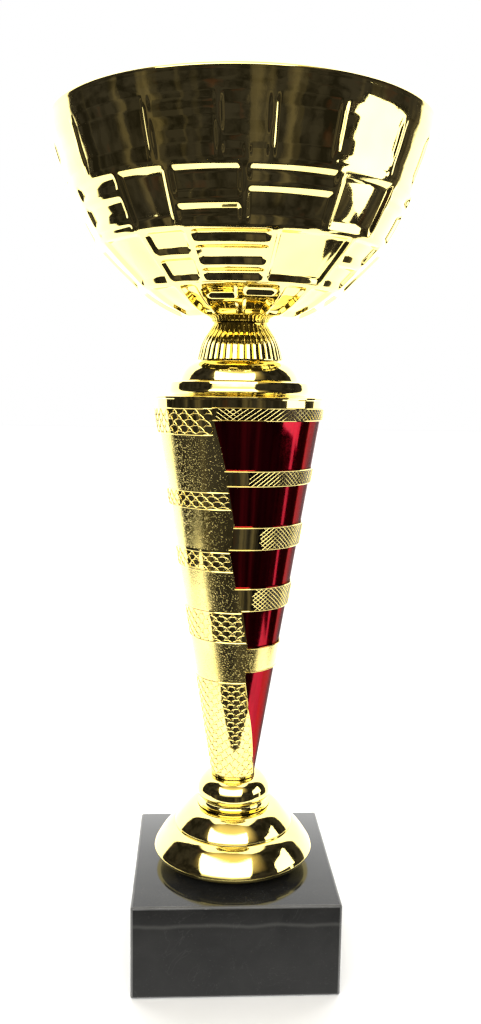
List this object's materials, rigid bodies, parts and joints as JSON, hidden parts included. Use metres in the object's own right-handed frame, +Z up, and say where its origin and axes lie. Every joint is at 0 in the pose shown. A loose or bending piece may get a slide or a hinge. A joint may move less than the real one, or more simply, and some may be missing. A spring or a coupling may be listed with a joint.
{
  "type": "cup trophy",
  "caption": "Cup trophy: gold bowl with raised pillow blocks on a fluted riser, red and gold tapered column, domed foot and square marble base, clamped by a tie rod.",
  "frame": {"origin": "centre of the marble base's underside", "axes": "+Z up along the tie rod; the base's sides lie along X and Y, and the front face is towards -Y"},
  "size_m": [0.1368, 0.1368, 0.3075],
  "materials": {
    "marble": "polished",
    "gold_plating": "polished",
    "red_lacquer": "gloss",
    "zinc_steel": "satin"
  },
  "bodies": {
    "root": {"marble_base": "marble", "base_washer": "zinc_steel", "base_nut": "zinc_steel", "tie_rod": "zinc_steel", "foot": "gold_plating", "neck_ring": "gold_plating", "column_core": "red_lacquer", "column_sleeve": "gold_plating", "column_cap": "gold_plating", "fluted_riser": "gold_plating", "bowl": "gold_plating", "bowl_washer": "zinc_steel", "bowl_nut": "zinc_steel"}
  },
  "joints": []
}
